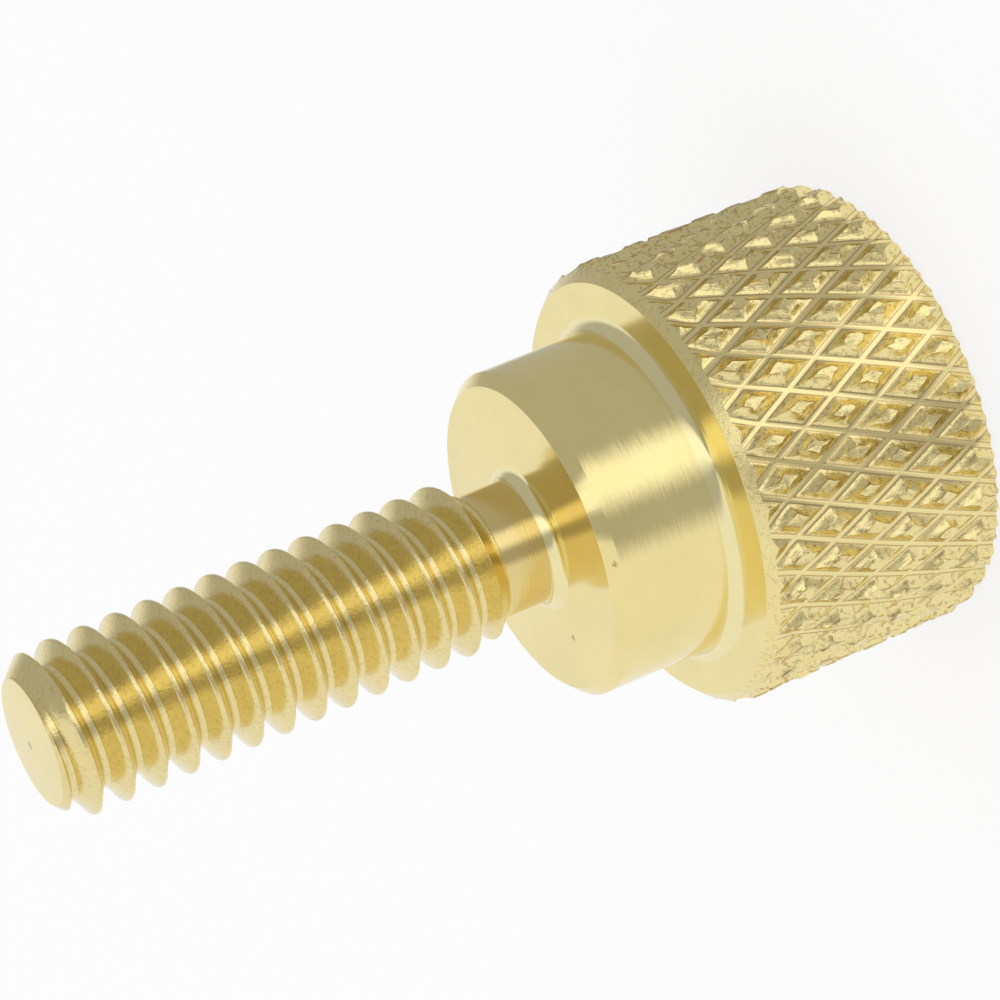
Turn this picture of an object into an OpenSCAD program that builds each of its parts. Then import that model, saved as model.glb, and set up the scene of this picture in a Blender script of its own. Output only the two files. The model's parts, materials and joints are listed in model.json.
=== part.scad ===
// Knurled brass thumb screw, turned from one bar.
// It stands on the back of its head: the axis is Z and the thread points up.

/* [Head] */
// Diameter over the knurl
head_d = 17.5; // [16:0.1:22]
// Length of the knurled head
head_l = 10; // [6:0.1:16]
// Chamfer at the head's front edge
head_front_chamfer = 0.58; // [0.1:0.01:0.9]
// Chamfer at the head's back edge
head_back_chamfer = 0.28; // [0.1:0.01:0.9]

/* [Knurl] */
// Number of grooves that wind each way round the head
knurl_starts = 36; // [24:1:42]
// Length of one diamond along the axis
diamond_l = 3.107; // [2.2:0.01:4.5]
// Depth of a groove
knurl_depth = 0.42; // [0.2:0.01:0.5]
// Width of a groove's flat floor
knurl_floor_w = 0.16; // [0.05:0.01:0.25]
// Included angle between a groove's flanks
knurl_angle = 83; // [70:1:100]
// Height of a row of diamonds over the back of the head
knurl_rise = 2.36; // [0:0.01:3.1]

/* [Collar] */
// Diameter of the collar
collar_d = 12.7; // [10:0.1:14.5]
// Length of the collar
collar_l = 5.07; // [2:0.01:10]
// Chamfer round the collar's seat
collar_chamfer = 0.43; // [0.1:0.01:1]
// Fillet between the collar and the head
collar_fillet_r = 0.5; // [0.1:0.05:0.7]

/* [Neck] */
// Diameter of the undercut neck
neck_d = 4.76; // [3.5:0.01:4.78]
// Length of the neck, from the collar's seat to the thread
neck_l = 2.2; // [1.9:0.05:6]
// Fillet between the neck and the collar's seat
neck_fillet_r = 0.45; // [0.1:0.05:0.6]

/* [Thread] */
// Major diameter of the thread
thread_d = 6.35; // [6.3:0.01:7]
// Pitch of the thread
thread_pitch = 1.27; // [1.1:0.01:1.4]
// Depth of the thread
thread_depth = 0.76; // [0.5:0.01:0.77]
// Included angle between the thread's flanks
thread_angle = 60; // [50:1:62]
// Length of the shank, from the collar's seat to the tip
shank_l = 20.25; // [10:0.05:50]
// Chamfer at the tip
tip_chamfer = 0.78; // [0.3:0.01:1.2]
// Where the thread's crest meets the tip, in degrees round the axis
thread_clock = 157; // [0:1:359]

/* [Hidden] */

// Facets of a full circle where a surface is turned
turned_facets = 96;

seat_z = head_l + collar_l;
tip_z = seat_z + shank_l;
head_r = head_d / 2;
collar_r = collar_d / 2;
neck_r = neck_d / 2;
thread_r = thread_d / 2;

// A step of the knurl is half a diamond, so diamonds and groove crossings take turns
knurl_columns = 2 * knurl_starts;
step_a = 360 / knurl_columns;
step_z = diamond_l / 2;
floor_r = head_r - knurl_depth;
step_w = floor_r * step_a * PI / 180;
groove_slope = atan(step_w / step_z);
// Half the height of a crossing's floor, and half its width as an angle
crossing_z = knurl_floor_w / 2 / sin(groove_slope);
crossing_a = step_a * (knurl_floor_w / 2 / cos(groove_slope)) / step_w;
// Where the flanks round a diamond would meet, over its middle
apex_r = floor_r + (step_w * cos(groove_slope) - knurl_floor_w / 2) / tan(knurl_angle / 2);
sleeve_r = max(apex_r, head_r) + 0.5;
// Rows of the lattice, which runs past both ends of the head
first_row = -ceil(knurl_rise / step_z) - 1;
row_count = 2 * ceil((head_l / step_z + 3) / 2);

// The thread's cutter reaches just past the shank's surface, and leaves the cut over the neck
cutter_steps = 40;
cutter_r = thread_r + 0.07;
root_r = thread_r - thread_depth;
root_w = thread_pitch * 7 / 8 - 2 * thread_depth * tan(thread_angle / 2);
cutter_w = root_w + 2 * (cutter_r - root_r) * tan(thread_angle / 2);
cutter_low_z = seat_z + neck_l - cutter_w / 2 - 0.25;
cutter_rings = ceil(cutter_steps * ((tip_z - cutter_low_z) / thread_pitch + 1));

function polar(r, a, z) = [r * cos(a), r * sin(a), z];
function two_triangles(a, b, c, d) = [[a, b, c], [a, c, d]];

// Outline of the turned blank: back of the head, knurl, collar, neck, shank and tip
module blank_outline() {
    difference() {
        polygon([
            [0, 0],
            [head_r - head_back_chamfer, 0],
            [head_r, head_back_chamfer],
            [head_r, head_l - head_front_chamfer],
            [head_r - head_front_chamfer, head_l],
            [collar_r + collar_fillet_r, head_l],
            [collar_r, head_l + collar_fillet_r],
            [collar_r, seat_z - collar_chamfer],
            [collar_r - collar_chamfer, seat_z],
            [neck_r + neck_fillet_r, seat_z],
            [neck_r, seat_z + neck_fillet_r],
            [neck_r, seat_z + neck_l],
            [thread_r, seat_z + neck_l + thread_r - neck_r],
            [thread_r, tip_z - tip_chamfer],
            [thread_r - tip_chamfer, tip_z],
            [0, tip_z]
        ]);
        translate([collar_r + collar_fillet_r, head_l + collar_fillet_r])
            circle(r = collar_fillet_r, $fn = turned_facets);
        translate([neck_r + neck_fillet_r, seat_z + neck_fillet_r])
            circle(r = neck_fillet_r, $fn = turned_facets);
    }
}

// What the knurling removes: a sleeve with the floors and flanks of both sets of grooves inside.
// Column i and row j hold a diamond where i + j is even, and a crossing where it is odd.
module knurl_sleeve() {
    top = row_count;
    last_column = knurl_columns - 1;
    function is_diamond(i, j) = (i + j + first_row) % 2 == 0;
    function row_z(j) = knurl_rise + (first_row + j) * step_z;

    // Each place has five points: a diamond's apex, then a crossing's four corners
    place_points = [
        for (j = [0:top])
            for (i = [0:last_column])
                let (a = i * step_a, z = row_z(j))
                    each [
                        polar(apex_r, a, z),
                        polar(floor_r, a, z + crossing_z),
                        polar(floor_r, a + crossing_a, z),
                        polar(floor_r, a, z - crossing_z),
                        polar(floor_r, a - crossing_a, z)
                    ]
    ];
    function place(i, j) = 5 * (j * knurl_columns + (i + knurl_columns) % knurl_columns);
    function apex(i, j) = place(i, j);
    function north(i, j) = place(i, j) + 1;
    function east(i, j) = place(i, j) + 2;
    function south(i, j) = place(i, j) + 3;
    function west(i, j) = place(i, j) + 4;

    flanks = [
        for (j = [1:top - 1])
            for (i = [0:last_column])
                if (is_diamond(i, j))
                    let (n = south(i, j + 1), s = north(i, j - 1), e = west(i + 1, j), w = east(i - 1, j))
                        each [[apex(i, j), n, w], [apex(i, j), w, s], [apex(i, j), s, e], [apex(i, j), e, n]]
    ];
    crossings = [
        for (j = [0:top])
            for (i = [0:last_column])
                if (!is_diamond(i, j))
                    each two_triangles(north(i, j), west(i, j), south(i, j), east(i, j))
    ];
    floors = [
        for (j = [0:top - 1])
            for (i = [0:last_column])
                if (!is_diamond(i, j))
                    each concat(
                        two_triangles(north(i, j), east(i, j), south(i + 1, j + 1), west(i + 1, j + 1)),
                        two_triangles(north(i, j), east(i - 1, j + 1), south(i - 1, j + 1), west(i, j))
                    )
    ];

    // The sleeve's two rims, each as inner points and the same points moved out to its outer wall
    crossing_columns = [for (i = [0:last_column]) if (!is_diamond(i, 0)) i];
    low_rim = [for (i = crossing_columns) each [west(i, 0), south(i, 0), east(i, 0), south(i + 1, 1)]];
    high_rim = [
        for (i = crossing_columns)
            each [west(i, top), north(i, top), east(i, top), north(i + 1, top - 1)]
    ];
    rim_points = [
        for (corner = concat(low_rim, high_rim))
            let (p = place_points[corner])
                polar(sleeve_r, atan2(p.y, p.x), p.z)
    ];
    rim_length = len(low_rim);
    low_wall = len(place_points);
    high_wall = low_wall + rim_length;
    walls = [
        for (m = [0:rim_length - 1])
            let (n = (m + 1) % rim_length)
                each concat(
                    two_triangles(low_rim[m], low_wall + m, low_wall + n, low_rim[n]),
                    two_triangles(high_rim[m], high_rim[n], high_wall + n, high_wall + m),
                    two_triangles(low_wall + m, high_wall + m, high_wall + n, low_wall + n)
                )
    ];
    polyhedron(concat(place_points, rim_points), concat(flanks, crossings, floors, walls));
}

// What the thread cutting removes: one V-shaped groove wound up the shank
module thread_groove() {
    function ring_z(n) = cutter_low_z + n * thread_pitch / cutter_steps;
    function ring_a(n) = thread_clock + 360 * ((ring_z(n) - tip_z) / thread_pitch - 0.5);
    points = [
        for (n = [0:cutter_rings])
            let (a = ring_a(n), z = ring_z(n))
                each [
                    polar(root_r, a, z - root_w / 2),
                    polar(root_r, a, z + root_w / 2),
                    polar(cutter_r, a, z + cutter_w / 2),
                    polar(cutter_r, a, z - cutter_w / 2)
                ]
    ];
    sides = [
        for (n = [0:cutter_rings - 1])
            for (j = [0:3])
                let (here = 4 * n, next = 4 * n + 4, k = (j + 1) % 4)
                    each two_triangles(here + k, here + j, next + j, next + k)
    ];
    last = 4 * cutter_rings;
    ends = [[0, 1, 2, 3], [last + 3, last + 2, last + 1, last]];
    polyhedron(points, concat(sides, ends));
}

module thumb_screw() {
    color("goldenrod")
        difference() {
            rotate_extrude($fn = turned_facets)
                blank_outline();
            knurl_sleeve();
            thread_groove();
        }
}

thumb_screw();
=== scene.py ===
"""Looks of the knurled brass thumb screw: its fine knurl and thread, its turned finishes, and the studio.

Shapes are worked out in millimetres about the screw's own axis and turned into metres at the end.
"""
import json
import math

import bpy
from mathutils import Matrix, Vector, noise


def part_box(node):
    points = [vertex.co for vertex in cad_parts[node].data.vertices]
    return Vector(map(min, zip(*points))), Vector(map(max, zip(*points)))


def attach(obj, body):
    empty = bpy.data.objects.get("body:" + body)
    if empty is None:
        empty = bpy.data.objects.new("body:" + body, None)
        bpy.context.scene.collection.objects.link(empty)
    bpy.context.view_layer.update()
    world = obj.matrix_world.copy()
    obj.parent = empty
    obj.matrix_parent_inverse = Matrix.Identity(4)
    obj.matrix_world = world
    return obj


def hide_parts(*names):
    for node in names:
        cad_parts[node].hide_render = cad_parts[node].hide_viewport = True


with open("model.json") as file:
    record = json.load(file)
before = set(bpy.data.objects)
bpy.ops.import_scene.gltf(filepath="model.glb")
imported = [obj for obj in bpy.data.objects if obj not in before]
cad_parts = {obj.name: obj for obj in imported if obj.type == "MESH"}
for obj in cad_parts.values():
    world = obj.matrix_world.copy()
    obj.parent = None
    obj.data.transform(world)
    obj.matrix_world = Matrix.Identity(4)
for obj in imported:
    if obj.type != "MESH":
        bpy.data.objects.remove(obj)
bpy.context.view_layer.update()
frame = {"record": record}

MM = 0.001

# ---------------------------------------------------------------- sizes, in millimetres
MOUNTS = {m["name"]: m for m in frame["record"]["mounts"]}
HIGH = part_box("thumb_screw")[1]
HEAD_R = HIGH.x / MM
TIP_Z = HIGH.z / MM
SEAT_Z = MOUNTS["seat"]["pos_m"][2] / MM
COLLAR_R = MOUNTS["collar"]["dims"]["r_mm"]
THREAD_R = MOUNTS["thread"]["dims"]["r_mm"]

HEAD_L = 10.0
HEAD_FRONT_CHAMFER = 0.58
HEAD_BACK_CHAMFER = 0.28
COLLAR_CHAMFER = 0.43
COLLAR_FILLET = 0.5
NECK_R = 2.38
NECK_L = 2.2
NECK_FILLET = 0.45
TIP_CHAMFER = 0.78

KNURL_STARTS = 36
DIAMOND_L = 3.107
KNURL_DEPTH = 0.42
KNURL_RISE = 2.36

THREAD_PITCH = 1.27
THREAD_DEPTH = 0.76
THREAD_CLOCK = 157.0

# How far the blank's head stands past the knurl before it is cut
BLANK_RIM = 0.7
TURNED_SEGMENTS = 192
THREAD_SEGMENTS = 72


# ---------------------------------------------------------------- meshes
def polar(r, angle, z):
    return (r * math.cos(angle), r * math.sin(angle), z)


def mesh_object(name, points, faces):
    mesh = bpy.data.meshes.new(name)
    mesh.from_pydata(points, [], faces)
    mesh.validate()
    obj = bpy.data.objects.new(name, mesh)
    bpy.context.scene.collection.objects.link(obj)
    return obj


def rounded(corners, steps=4):
    """The outline with each corner (r, z, radius) replaced by an arc that is tangent to its two sides."""
    outline = []
    for k, (r, z, radius) in enumerate(corners):
        here = Vector((r, z))
        if radius == 0:
            outline.append(here)
            continue
        before = (Vector(corners[k - 1][:2]) - here).normalized()
        after = (Vector(corners[k + 1][:2]) - here).normalized()
        half = before.angle(after) / 2
        centre = here + (before + after).normalized() * radius / math.sin(half)
        reach = radius / math.tan(half)
        start = here + before * reach - centre
        turn = start.angle_signed(here + after * reach - centre)
        for step in range(steps + 1):
            outline.append(centre + Matrix.Rotation(-turn * step / steps, 2) @ start)
    return outline


def turned_blank():
    """The bar before it is knurled and threaded. The head's two chamfers run on past its rim."""
    fine = 0.04
    collar_foot = COLLAR_R + COLLAR_FILLET
    run_out_z = SEAT_Z + NECK_L
    corners = [
        (HEAD_R - HEAD_BACK_CHAMFER, 0, fine),
        (HEAD_R + BLANK_RIM, HEAD_BACK_CHAMFER + BLANK_RIM, 0),
        (HEAD_R + BLANK_RIM, HEAD_L - HEAD_FRONT_CHAMFER - BLANK_RIM, 0),
        (HEAD_R - HEAD_FRONT_CHAMFER, HEAD_L, fine),
        (COLLAR_R, HEAD_L, COLLAR_FILLET),
        (COLLAR_R, SEAT_Z - COLLAR_CHAMFER, fine),
        (COLLAR_R - COLLAR_CHAMFER, SEAT_Z, fine),
        (NECK_R, SEAT_Z, NECK_FILLET),
        (NECK_R, run_out_z, 0.1),
        (THREAD_R, run_out_z + THREAD_R - NECK_R, fine),
        (THREAD_R, TIP_Z - TIP_CHAMFER, fine),
        (THREAD_R - TIP_CHAMFER, TIP_Z, fine),
    ]
    outline = rounded([(0, 0, 0)] + corners + [(0, TIP_Z, 0)])[1:-1]
    turn = 2 * math.pi / TURNED_SEGMENTS
    points = [polar(p.x, s * turn, p.y) for p in outline for s in range(TURNED_SEGMENTS)]
    faces = []
    for k in range(len(outline) - 1):
        for s in range(TURNED_SEGMENTS):
            a, b = k * TURNED_SEGMENTS + s, k * TURNED_SEGMENTS + (s + 1) % TURNED_SEGMENTS
            faces.append((a, b, b + TURNED_SEGMENTS, a + TURNED_SEGMENTS))
    last = len(points)
    points += [(0, 0, 0), (0, 0, TIP_Z)]
    top = last - TURNED_SEGMENTS
    for s in range(TURNED_SEGMENTS):
        n = (s + 1) % TURNED_SEGMENTS
        faces.append((last, n, s))
        faces.append((last + 1, top + s, top + n))
    return mesh_object("thumb_screw_brass", points, faces)


def thread_cutter():
    """The V groove, with a rounded root, and flanks that curl over into the rounded crest."""
    slope = math.tan(math.radians(30))
    root_r = THREAD_R - THREAD_DEPTH
    root_half = THREAD_PITCH * 7 / 16 - THREAD_DEPTH * slope
    half = [
        (0.45 * root_half, root_r + 0.002),
        (root_half + 0.01, root_r + 0.03),
        (root_half + 0.28 * slope + 0.012, root_r + 0.28),
        (root_half + (THREAD_DEPTH - 0.055) * slope, THREAD_R - 0.055),
        (root_half + (THREAD_DEPTH - 0.025) * slope + 0.007, THREAD_R - 0.025),
        (root_half + THREAD_DEPTH * slope + 0.018, THREAD_R - 0.006),
        (root_half + THREAD_DEPTH * slope + 0.045, THREAD_R + 0.001),
        (root_half + THREAD_DEPTH * slope + 0.055, THREAD_R + 0.1),
    ]
    section = [(-dz, r) for dz, r in reversed(half)] + half
    low_z = SEAT_Z + NECK_L - 0.9
    rise = THREAD_PITCH / THREAD_SEGMENTS
    rings = math.ceil((TIP_Z + THREAD_PITCH - low_z) / rise)
    points = []
    for n in range(rings + 1):
        z = low_z + n * rise
        angle = math.radians(THREAD_CLOCK) + 2 * math.pi * ((z - TIP_Z) / THREAD_PITCH - 0.5)
        for dz, r in section:
            spot = Vector(polar(r, angle, z + dz))
            uneven = 0.025 * noise.noise(spot * 2.7) if r > THREAD_R - 0.1 else 0
            points.append(polar(r, angle, z + dz + math.copysign(uneven, dz)))
    count = len(section)
    faces = []
    for n in range(rings):
        for k in range(count):
            a, b = n * count + k, n * count + (k + 1) % count
            faces.append((b, b + count, a + count, a))
    faces.append(tuple(reversed(range(count))))
    faces.append(tuple(range(rings * count, (rings + 1) * count)))
    return mesh_object("thread_cutter", points, faces)


# Across a groove, from its middle to the middle of a diamond: share of the way, and height over the floor
KNURL_SECTION = [
    (0.00, 0.000),
    (0.12, 0.005),
    (0.20, 0.021),
    (0.29, 0.055),
    (0.38, 0.106),
    (0.50, 0.198),
    (0.64, 0.325),
    (0.70, 0.380),
]
KNURL_TOP = 0.355
# The first of those points that is on the torn top, and how far the tearing pulls it and its neighbours
LIP_LEVEL = 7
TEAR = [0.0, 0.0, 0.0, 0.0, 0.0, 0.3, 0.75, 1.0, 1.0]
# The knurl runs shallower toward the collar's end of the head: over what length, and what it loses by the end
KNURL_FADE_L = 1.1
KNURL_FADE = 0.6


def knurl_cutter():
    """A sleeve whose inner wall is the knurl: grooves both ways, and a torn crater on top of each diamond.

    A point is placed by p and q, which count the grooves of each hand. Both grow round the head, p climbs
    and q falls, and a diamond lies between whole numbers of both.
    """
    half = len(KNURL_SECTION)
    cell = 2 * half
    across = [share / 2 for share, _ in KNURL_SECTION] + [0.5]
    across += [1 - share for share in across[half - 1:0:-1]]
    heights = [height for _, height in KNURL_SECTION] + [KNURL_TOP]
    step_a = math.pi / KNURL_STARTS
    step_z = DIAMOND_L / 2
    floor_r = HEAD_R - KNURL_DEPTH
    low_row = -math.ceil(KNURL_RISE / step_z) - 1
    high_row = low_row + 2 * math.ceil((HEAD_L / step_z + 3) / 2)
    whole_turn = KNURL_STARTS * cell
    points, index = [], {}

    def place(mp, mq):
        p = mp // cell + across[mp % cell]
        q = mq // cell + across[mq % cell]
        level = min(mp % cell, -mp % cell, mq % cell, -mq % cell)
        height = heights[level]
        angle = (p + q + 1) * step_a
        z = KNURL_RISE + (p - q) * step_z
        height += KNURL_FADE * min(1, max(0, 1 - (HEAD_L - z) / KNURL_FADE_L)) * (KNURL_DEPTH - height)
        if TEAR[level]:
            spot = Vector((floor_r * math.cos(angle), floor_r * math.sin(angle), z))
            if level >= LIP_LEVEL:
                height += 0.03 * noise.noise(spot * 1.3) + 0.07 * noise.noise(spot * 4.1)
            angle += 0.12 * TEAR[level] * noise.noise(spot * 3.7 + Vector((40, 0, 0))) / floor_r
            z += 0.2 * TEAR[level] * noise.noise(spot * 3.7 + Vector((0, 40, 0)))
        return polar(min(floor_r + height, HEAD_R), angle, z)

    def vertex(mp, mq):
        turns = (mp + mq) // (2 * whole_turn)
        key = (mp - turns * whole_turn, mq - turns * whole_turn)
        if key not in index:
            index[key] = len(points)
            points.append(place(*key))
        return index[key]

    def cells_in_row(row):
        for column in range(row % 2, 2 * KNURL_STARTS, 2):
            yield (column + row) // 2 - 1, (column - row) // 2 - 1

    faces = []
    for row in range(low_row, high_row + 1):
        for p, q in cells_in_row(row):
            for m in range(p * cell, (p + 1) * cell):
                for n in range(q * cell, (q + 1) * cell):
                    a, b, c, d = vertex(m, n), vertex(m + 1, n), vertex(m + 1, n + 1), vertex(m, n + 1)
                    if (m % cell < half) == (n % cell < half):
                        faces += [(a, b, c), (a, c, d)]
                    else:
                        faces += [(a, b, d), (b, c, d)]
    low_rim, high_rim = [], []
    for p, q in cells_in_row(low_row):
        low_rim += [vertex(p * cell, q * cell + t) for t in range(cell)]
        low_rim += [vertex(p * cell + t, (q + 1) * cell) for t in range(cell)]
    for p, q in cells_in_row(high_row):
        high_rim += [vertex(p * cell + t, q * cell) for t in range(cell)]
        high_rim += [vertex((p + 1) * cell, q * cell + t) for t in range(cell)]
    low_wall = len(points)
    high_wall = low_wall + len(low_rim)
    for corner in low_rim + high_rim:
        x, y, z = points[corner]
        points.append(polar(HEAD_R + 2 * BLANK_RIM, math.atan2(y, x), z))
    for m in range(len(low_rim)):
        n = (m + 1) % len(low_rim)
        faces.append((low_rim[m], low_rim[n], low_wall + n, low_wall + m))
        faces.append((high_rim[m], high_wall + m, high_wall + n, high_rim[n]))
        faces.append((low_wall + m, low_wall + n, high_wall + n, high_wall + m))
    return mesh_object("knurl_cutter", points, faces)


def cut(obj, cutter):
    modifier = obj.modifiers.new("cut", "BOOLEAN")
    modifier.operation = "DIFFERENCE"
    modifier.solver = "MANIFOLD"
    modifier.object = cutter
    depsgraph = bpy.context.evaluated_depsgraph_get()
    mesh = bpy.data.meshes.new_from_object(obj.evaluated_get(depsgraph))
    obj.modifiers.clear()
    obj.data = mesh
    bpy.data.objects.remove(cutter)


# ---------------------------------------------------------------- finishes
def node(tree, kind, inputs=None, **settings):
    made = tree.nodes.new(kind)
    for name, value in settings.items():
        setattr(made, name, value)
    for name, value in (inputs or {}).items():
        if isinstance(value, bpy.types.NodeSocket):
            tree.links.new(value, made.inputs[name])
        else:
            made.inputs[name].default_value = value
    return made


def new_material(name):
    material = bpy.data.materials.new(name)
    material.use_nodes = True
    material.node_tree.nodes.clear()
    return material, material.node_tree


def math_node(tree, operation, first, second=0.0):
    return node(tree, "ShaderNodeMath", {0: first, 1: second}, operation=operation).outputs["Value"]


def scaled(tree, vector, amount):
    made = node(tree, "ShaderNodeVectorMath", {0: vector, "Scale": amount}, operation="SCALE")
    return made.outputs["Vector"]


def combined(tree, x, y, z):
    return node(tree, "ShaderNodeCombineXYZ", {"X": x, "Y": y, "Z": z}).outputs["Vector"]


def grain_noise(tree, vector, scale=1.0, detail=3.0, roughness=0.6):
    inputs = {"Vector": vector, "Scale": scale, "Detail": detail, "Roughness": roughness}
    return node(tree, "ShaderNodeTexNoise", inputs).outputs["Fac"]


def lathe_position(tree, along, around):
    """Radius and height in tool marks, and the turn round the axis, so that noise on it runs in rings."""
    spot = node(tree, "ShaderNodeTexCoord").outputs["Object"]
    split = node(tree, "ShaderNodeSeparateXYZ", {"Vector": spot}).outputs
    flat = combined(tree, split["X"], split["Y"], 0.0)
    radius = node(tree, "ShaderNodeVectorMath", {0: flat}, operation="LENGTH").outputs["Value"]
    heading = node(tree, "ShaderNodeVectorMath", {0: flat}, operation="NORMALIZE").outputs["Vector"]
    turn = node(tree, "ShaderNodeSeparateXYZ", {"Vector": scaled(tree, heading, around)}).outputs
    marks = math_node(tree, "MULTIPLY", math_node(tree, "ADD", radius, split["Z"]), along / MM)
    return combined(tree, marks, turn["X"], turn["Y"])


def knurl_position(tree, hand, across, along):
    """Place across and along the grooves of one hand, so that noise on it runs as streaks along them."""
    spot = node(tree, "ShaderNodeTexCoord").outputs["Object"]
    split = node(tree, "ShaderNodeSeparateXYZ", {"Vector": spot}).outputs
    turn = math_node(tree, "ARCTAN2", split["Y"], split["X"])
    turns = math_node(tree, "MULTIPLY", turn, hand * KNURL_STARTS / (2 * math.pi))
    rows = math_node(tree, "MULTIPLY", split["Z"], 1 / (DIAMOND_L * MM))
    crossing = math_node(tree, "MULTIPLY", math_node(tree, "ADD", turns, rows), across)
    running = math_node(tree, "MULTIPLY", math_node(tree, "SUBTRACT", turns, rows), along)
    return combined(tree, crossing, running, 0.0)


def bumped(tree, height, strength, distance, normal=None):
    inputs = {"Height": height, "Strength": strength, "Distance": distance * MM}
    if normal:
        inputs["Normal"] = normal
    return node(tree, "ShaderNodeBump", inputs).outputs["Normal"]


def swayed(tree, sway):
    """The surface's direction, leaning a little to either side from one tool mark to the next."""
    marks = grain_noise(tree, lathe_position(tree, 12, 4.0), detail=4.0, roughness=0.75)
    lean = math_node(tree, "MULTIPLY", math_node(tree, "SUBTRACT", marks, 0.5), sway)
    side = node(tree, "ShaderNodeTangent", direction_type="RADIAL", axis="Z").outputs["Tangent"]
    facing = node(tree, "ShaderNodeNewGeometry").outputs["Normal"]
    leaning = node(tree, "ShaderNodeVectorMath", {0: facing, 1: scaled(tree, side, lean)}, operation="ADD")
    leaning = leaning.outputs["Vector"]
    return node(tree, "ShaderNodeVectorMath", {0: leaning}, operation="NORMALIZE").outputs["Vector"]


def brass(
    name, roughness, color, sway=0.0, rings=0.0, grain=0.0, streaks=0.0, hand=1, anisotropic=0.0, stain=0.0,
    nicks=False,
):
    material, tree = new_material(name)
    spot = node(tree, "ShaderNodeTexCoord").outputs["Object"]
    normal = swayed(tree, sway) if sway else None
    if rings:
        normal = bumped(tree, grain_noise(tree, lathe_position(tree, 14, 2.0)), rings, 0.01, normal)
    if streaks:
        lines = grain_noise(tree, knurl_position(tree, hand, 30.0, 1.2), detail=2.0)
        normal = bumped(tree, lines, streaks, 0.03, normal)
    if grain:
        normal = bumped(tree, grain_noise(tree, spot, 9 / MM, 4.0), grain, 0.03, normal)
    smear = grain_noise(tree, spot, 0.35 / MM)
    rough = node(
        tree, "ShaderNodeMapRange",
        {"Value": smear, "From Min": 0.3, "From Max": 0.7,
         "To Min": roughness * 0.8, "To Max": roughness * 1.25},
    ).outputs["Result"]
    worn = node(
        tree, "ShaderNodeMapRange",
        {"Value": smear, "From Min": 0.3, "From Max": 0.7, "To Min": 0.96, "To Max": 1.03},
    ).outputs["Result"]
    if nicks:
        color = nicked(tree, color)
    if stain:
        marks = grain_noise(tree, spot, 5.5 / MM, 2.0)
        share = math_node(tree, "MULTIPLY", smooth(tree, marks, 0.50, 0.68), stain)
        color = blend(tree, share, color, STAIN)
    surface = node(
        tree, "ShaderNodeBsdfPrincipled",
        {"Base Color": scaled(tree, color, worn), "Metallic": 1.0, "Roughness": rough,
         "Anisotropic": anisotropic, "Anisotropic Rotation": 0.25},
    )
    if normal:
        tree.links.new(normal, surface.inputs["Normal"])
    if anisotropic:
        tangent = node(tree, "ShaderNodeTangent", direction_type="RADIAL", axis="Z").outputs["Tangent"]
        tree.links.new(tangent, surface.inputs["Tangent"])
    output = node(tree, "ShaderNodeOutputMaterial")
    tree.links.new(surface.outputs["BSDF"], output.inputs["Surface"])
    return material


BRASS = (0.89, 0.76, 0.36)
# Darker brass on the neck: painted shade, for the shade it lies in between the seat and the thread.
PAINTED_SHADE_NECK_BRASS = (0.80, 0.64, 0.28)
# A little darker brass on the thread: painted shade, for the shade between its flanks.
PAINTED_SHADE_THREAD_BRASS = (0.85, 0.72, 0.35)
# Paler brass on the two fillets: a painted highlight, for the pale reflection that they show.
PAINTED_HIGHLIGHT_BRASS = (0.90, 0.80, 0.43)
# Dark brass beside each knurl groove's floor and just below each torn lip: painted shade in those corners.
PAINTED_SHADE_EDGE_BRASS = (0.60, 0.44, 0.20)
STAIN = (0.40, 0.26, 0.10)
FINISHES = {
    "turned": dict(color=BRASS, roughness=0.10, sway=0.16, rings=0.3, anisotropic=0.5, nicks=True),
    "faced": dict(color=BRASS, roughness=0.12, rings=0.15, anisotropic=0.3, nicks=True),
    "rim": dict(color=BRASS, roughness=0.17, grain=0.4, stain=0.25),
    # The fillets' paler brass is a painted highlight.
    "corner": dict(color=PAINTED_HIGHLIGHT_BRASS, roughness=0.1, rings=0.1, anisotropic=0.3),
    # The neck's darker brass is painted shade.
    "neck": dict(color=PAINTED_SHADE_NECK_BRASS, roughness=0.08, sway=0.12, rings=0.2, anisotropic=0.2),
    # The thread's darker brass is painted shade of its grooves.
    "thread": dict(color=PAINTED_SHADE_THREAD_BRASS, roughness=0.08, rings=0.2, grain=0.3, stain=0.2),
    "knurl_floor": dict(color=BRASS, roughness=0.15, grain=0.2),
    # The knurl's dark edges are painted shade.
    "knurl_edge_painted_shade": dict(color=PAINTED_SHADE_EDGE_BRASS, roughness=0.18, grain=0.3),
    "knurl_right": dict(color=BRASS, roughness=0.12, streaks=0.35, grain=0.35, hand=1, stain=0.6),
    "knurl_left": dict(color=BRASS, roughness=0.12, streaks=0.35, grain=0.35, hand=-1, stain=0.6),
    "knurl_top": dict(color=BRASS, roughness=0.12, grain=1.0, stain=0.4),
}


# Small nicks on the tip, the seat and the collar's chamfer: where each lies, and how wide it is
NICKS = [
    ((-0.08, 0.39, 35.32), 0.20),
    ((-4.00, -0.39, 15.07), 0.16),
    ((-1.96, -5.88, 14.78), 0.13),
]
# How far noise pulls a nick's outline about, in millimetres, and how dark the nick is
NICK_RAGGED = 0.3
NICK_SHARE = 0.7


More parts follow.
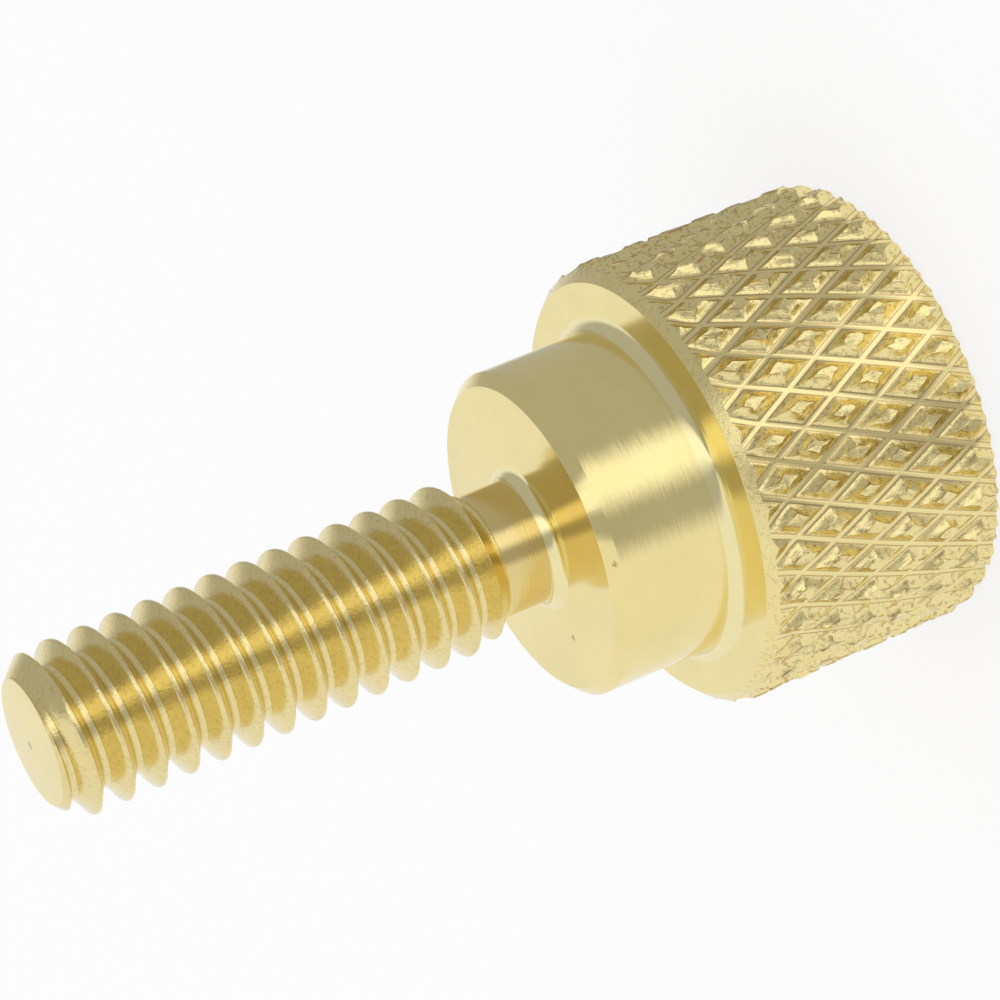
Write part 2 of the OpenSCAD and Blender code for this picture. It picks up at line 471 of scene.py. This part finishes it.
def nicked(tree, color):
    """The colour, darkened where there is a nick. The noise averages a half, which core makes up for."""
    spot = node(tree, "ShaderNodeTexCoord").outputs["Object"]
    rough = node(tree, "ShaderNodeTexNoise", {"Vector": spot, "Scale": 9 / MM}).outputs["Color"]
    rough = scaled(tree, rough, NICK_RAGGED * MM)
    ragged = node(tree, "ShaderNodeVectorMath", {0: spot, 1: rough}, operation="ADD").outputs["Vector"]
    for place, width in NICKS:
        core = tuple((c + NICK_RAGGED / 2) * MM for c in place)
        off = node(tree, "ShaderNodeVectorMath", {0: ragged, 1: core}, operation="DISTANCE").outputs["Value"]
        share = math_node(tree, "MULTIPLY", smooth(tree, off, width * MM, 0.5 * width * MM), NICK_SHARE)
        color = blend(tree, share, color, STAIN)
    return color


def region(face):
    """Which finish a face of the screw has, by where it is and which way it looks."""
    x, y, z = face.center / MM
    r = math.hypot(x, y)
    if r > HEAD_R - HEAD_FRONT_CHAMFER and abs(abs(face.normal.z) - math.sqrt(0.5)) < 0.01:
        return "rim"
    if z < HEAD_L - 0.01 and r > HEAD_R - KNURL_DEPTH - 0.3:
        turns = math.atan2(y, x) / (2 * math.pi) * KNURL_STARTS
        rows = (z - KNURL_RISE) / DIAMOND_L
        right, left = turns + rows - 0.5, turns - rows - 0.5
        off_right, off_left = abs(right - round(right)), abs(left - round(left))
        if min(off_right, off_left) > KNURL_SECTION[LIP_LEVEL][0] / 2:
            return "knurl_top"
        if min(off_right, off_left) < KNURL_SECTION[1][0] / 2:
            return "knurl_floor"
        # The bands beside each groove's floor and just below each torn lip take dark brass, which is painted
        # shade.
        if min(off_right, off_left) < KNURL_SECTION[2][0] / 2:
            return "knurl_edge_painted_shade"
        if min(off_right, off_left) > KNURL_SECTION[LIP_LEVEL - 1][0] / 2:
            return "knurl_edge_painted_shade"
        return "knurl_right" if off_right < off_left else "knurl_left"
    if abs(face.normal.z) > 0.99:
        return "faced"
    # The two fillets, by the collar and by the seat, take the paler brass, which is a painted highlight.
    if HEAD_L < z < HEAD_L + 0.9 * COLLAR_FILLET or SEAT_Z < z < SEAT_Z + 0.9 * NECK_FILLET:
        return "corner"
    # The thread's faces take a darker brass, which is painted shade.
    if z > SEAT_Z + NECK_L - 0.1:
        return "thread"
    # Faces between the seat and the thread take the neck's darker brass, which is painted shade.
    if z > SEAT_Z + 0.1:
        return "neck"
    return "turned"


def finish(obj):
    names = list(FINISHES)
    obj.data.materials.clear()
    for name in names:
        obj.data.materials.append(brass("brass_" + name, **FINISHES[name]))
    for face in obj.data.polygons:
        face.material_index = names.index(region(face))
        face.use_smooth = True
    obj.data.set_sharp_from_angle(angle=math.radians(32))


# ---------------------------------------------------------------- studio
# Half the floor's side in metres, and how much of it is plain white where a camera or a mirror sees it
FLOOR_REACH = 1.5
FLOOR_WHITE = 0.75


def floor():
    side = FLOOR_REACH
    corners = [(-side, -side, 0), (side, -side, 0), (side, side, 0), (-side, side, 0)]
    obj = mesh_object("floor", corners, [(0, 1, 2, 3)])
    material, tree = new_material("floor_paper")
    paper = node(tree, "ShaderNodeBsdfDiffuse", {"Color": (0.9, 0.9, 0.9, 1)}).outputs["BSDF"]
    white = node(tree, "ShaderNodeEmission", {"Color": (1, 1, 1, 1), "Strength": 1.0}).outputs["Emission"]
    path = node(tree, "ShaderNodeLightPath").outputs
    seen = math_node(tree, "MAXIMUM", path["Is Camera Ray"], path["Is Glossy Ray"])
    seen = math_node(tree, "MAXIMUM", seen, path["Is Transmission Ray"])
    share = math_node(tree, "MULTIPLY", seen, FLOOR_WHITE)
    mixed = node(tree, "ShaderNodeMixShader", {0: share, 1: paper, 2: white}).outputs[0]
    output = node(tree, "ShaderNodeOutputMaterial")
    tree.links.new(mixed, output.inputs["Surface"])
    obj.data.materials.append(material)


# Plain soft studio light for the brass to mirror, which only glossy rays see: a dome, and a sheet just over
# the floor. Round the screw's axis it is pale for one half of the turn and dim for the other, with one soft
# window in the dim half. It is grey all over, so the colour that shows is the brass's own. The window and the
# dim half face the way that the highlight and the shade do in the photograph. Sizes are in millimetres, and
# places are shares of a turn, counted from -x.
TENT_R = 80.0
TENT_FOOT_Z = 0.15
TENT_RINGS = 24
TENT_SPOKES = 64
SHEET_RINGS = (9.0, 14.0, 25.0, 45.0, TENT_R)
PALE_LIGHT = (0.92, 0.92, 0.92)
DIM_LIGHT = (0.48, 0.48, 0.48)
WINDOW_LIGHT = (1.20, 1.20, 1.20)
DIM_HALF = (0.17, 0.67)
WINDOW = (0.25, 0.33)
SOFT_EDGE = 0.05


def smooth(tree, value, low, high):
    """0 at low and 1 at high, with a soft start and end. Low may be the greater of the two."""
    return node(
        tree, "ShaderNodeMapRange",
        {"Value": value, "From Min": low, "From Max": high, "To Min": 0.0, "To Max": 1.0},
        interpolation_type="SMOOTHSTEP",
    ).outputs["Result"]


def blend(tree, share, first, second):
    made = node(tree, "ShaderNodeMix", data_type="RGBA")
    tree.links.new(share, made.inputs["Factor"])
    for name, value in (("A_Color", first), ("B_Color", second)):
        socket = [s for s in made.inputs if s.identifier == name][0]
        if isinstance(value, bpy.types.NodeSocket):
            tree.links.new(value, socket)
        else:
            socket.default_value = (*value, 1)
    return [s for s in made.outputs if s.identifier == "Result_Color"][0]


def between(tree, share, part):
    """1 inside the part of a turn and 0 outside it, with soft edges."""
    start, end = part
    half = SOFT_EDGE / 2
    opened = smooth(tree, share, start - half, start + half)
    return math_node(tree, "MULTIPLY", opened, smooth(tree, share, end + half, end - half))


def bands(first, count):
    """Quads that join rings of points, from the first ring on."""
    faces = []
    for k in range(count):
        ring = first + k * TENT_SPOKES
        for n in range(TENT_SPOKES):
            m = (n + 1) % TENT_SPOKES
            faces.append((ring + n, ring + m, ring + TENT_SPOKES + m, ring + TENT_SPOKES + n))
    return faces


def tent():
    """The dome and the sheet. The sheet's quads are turned over, so that they face up."""
    spoke = 2 * math.pi / TENT_SPOKES
    points = []
    for k in range(TENT_RINGS + 1):
        tilt = math.pi / 2 * k / TENT_RINGS
        r, z = TENT_R * math.cos(tilt), TENT_FOOT_Z + TENT_R * math.sin(tilt)
        points += [polar(r, spoke * n, z) for n in range(TENT_SPOKES)]
    faces = bands(0, TENT_RINGS)
    sheet = len(points)
    for r in SHEET_RINGS:
        points += [polar(r, spoke * n, TENT_FOOT_Z) for n in range(TENT_SPOKES)]
    faces += [(a, d, c, b) for a, b, c, d in bands(sheet, len(SHEET_RINGS) - 1)]
    obj = mesh_object("tent", [Vector(p) * MM for p in points], faces)
    material, tree = new_material("tent_light")
    spot = node(tree, "ShaderNodeTexCoord").outputs["Object"]
    split = node(tree, "ShaderNodeSeparateXYZ", {"Vector": spot}).outputs
    turn = math_node(tree, "ARCTAN2", split["Y"], split["X"])
    share = math_node(tree, "ADD", math_node(tree, "MULTIPLY", turn, 0.5 / math.pi), 0.5)
    light = blend(tree, between(tree, share, DIM_HALF), PALE_LIGHT, DIM_LIGHT)
    light = blend(tree, between(tree, share, WINDOW), light, WINDOW_LIGHT)
    glow = node(tree, "ShaderNodeEmission", {"Color": light, "Strength": 1.0}).outputs["Emission"]
    output = node(tree, "ShaderNodeOutputMaterial")
    tree.links.new(glow, output.inputs["Surface"])
    obj.data.materials.append(material)
    obj.visible_camera = False
    obj.visible_diffuse = False
    obj.visible_shadow = False


def sky():
    world = bpy.data.worlds.new("studio")
    world.use_nodes = True
    world.node_tree.nodes["Background"].inputs["Color"].default_value = (1, 1, 1, 1)
    world.node_tree.nodes["Background"].inputs["Strength"].default_value = 1.0
    bpy.context.scene.world = world


# The view: lean of the axis from the line of sight, its slope in the picture, distance to the collar's seat,
# focal length in pixels of a picture 1000 pixels wide, and the pixel where the middle of that seat shows
VIEW_LEAN = 67.93
VIEW_SLOPE = 22.13
VIEW_DISTANCE = 151.29
VIEW_FOCAL = 4117
VIEW_SIZE = 1000
SEAT_PIXEL = (528.4, 538.2)


def camera():
    data = bpy.data.cameras.new("camera")
    obj = bpy.data.objects.new("camera", data)
    bpy.context.scene.collection.objects.link(obj)
    data.sensor_width = 36
    data.lens = data.sensor_width * VIEW_FOCAL / VIEW_SIZE
    data.clip_start = 0.01
    data.clip_end = 20
    lean, roll = math.radians(VIEW_LEAN), math.radians(90 + VIEW_SLOPE)
    back = Vector((0, -math.sin(lean), math.cos(lean)))
    level = Vector((1, 0, 0))
    upright = back.cross(level)
    right = math.cos(roll) * level - math.sin(roll) * upright
    up = math.sin(roll) * level + math.cos(roll) * upright
    aside = (SEAT_PIXEL[0] - VIEW_SIZE / 2) / VIEW_FOCAL * VIEW_DISTANCE
    below = (SEAT_PIXEL[1] - VIEW_SIZE / 2) / VIEW_FOCAL * VIEW_DISTANCE
    spot = Vector((0, 0, SEAT_Z)) - right * aside + up * below + back * VIEW_DISTANCE
    axes = Matrix((right, up, back)).transposed().to_4x4()
    obj.matrix_world = Matrix.Translation(spot * MM) @ axes
    bpy.context.scene.camera = obj


# ---------------------------------------------------------------- the screw
screw = turned_blank()
for cutter in (thread_cutter(), knurl_cutter()):
    cut(screw, cutter)
screw.data.transform(Matrix.Scale(MM, 4))
finish(screw)
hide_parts("thumb_screw")
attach(screw, "root")

floor()
tent()
sky()
camera()
bpy.context.scene.view_settings.view_transform = "Standard"
